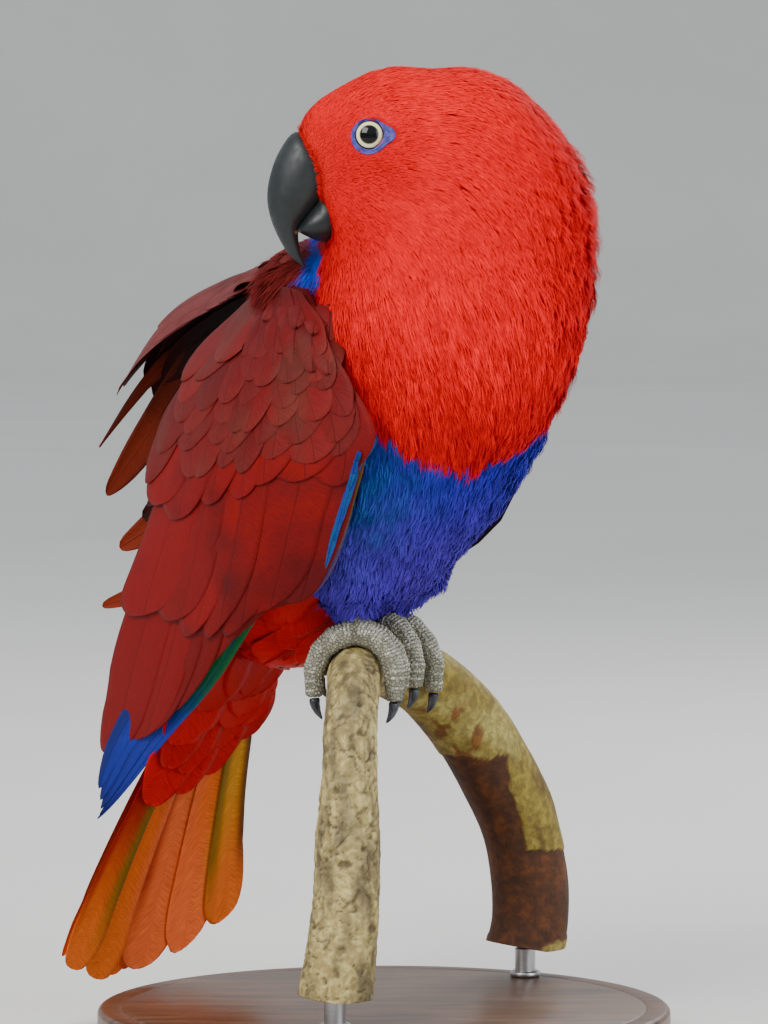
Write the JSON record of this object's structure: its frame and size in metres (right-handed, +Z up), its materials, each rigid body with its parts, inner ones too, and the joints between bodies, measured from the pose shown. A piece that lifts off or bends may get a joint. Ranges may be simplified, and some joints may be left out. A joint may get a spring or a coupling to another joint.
{
  "type": "eclectus parrot",
  "caption": "Female eclectus parrot with a red head and blue belly, looking back over its shoulder on a bent branch, on a round display stand.",
  "frame": {"origin": "middle of the stand base's underside", "axes": "+Z up, +X to the right as seen from the front, where the head is in profile and its bill points to -X, +Y away from the viewer"},
  "size_m": [0.2043, 0.1958, 0.323],
  "materials": {
    "feather_red": "scarlet feathers, soft and matt",
    "feather_blue": "royal blue feathers, soft and matt",
    "feather_maroon": "dark red vaned feathers with a slight gloss",
    "bill": "black horn, satin",
    "foot_skin": "grey scaled skin, matt",
    "claw": "dark horn, satin",
    "eye": "wet eyeball, pale yellow iris and black pupil",
    "bark": "weathered grey and olive bark, rough",
    "stand_wood": "dark stained wood, satin",
    "stand_steel": "brushed"
  },
  "bodies": {
    "root": {"head": "feather_red", "neck": "feather_red", "torso": "feather_blue", "thigh_left": "feather_blue", "thigh_right": "feather_blue", "wing_left": "feather_maroon", "wing_right": "feather_maroon", "tail": "feather_maroon", "upper_bill": "bill", "lower_bill": "bill", "foot_left": "foot_skin", "foot_right": "foot_skin", "claw_left_outer_front": "claw", "claw_left_inner_front": "claw", "claw_left_outer_back": "claw", "claw_left_inner_back": "claw", "claw_right_outer_front": "claw", "claw_right_inner_front": "claw", "claw_right_outer_back": "claw", "claw_right_inner_back": "claw", "eye_left": "eye", "eye_right": "eye", "perch": "bark", "stand_base": "stand_wood", "stand_rod_near": "stand_steel", "stand_rod_far": "stand_steel"}
  },
  "joints": []
}
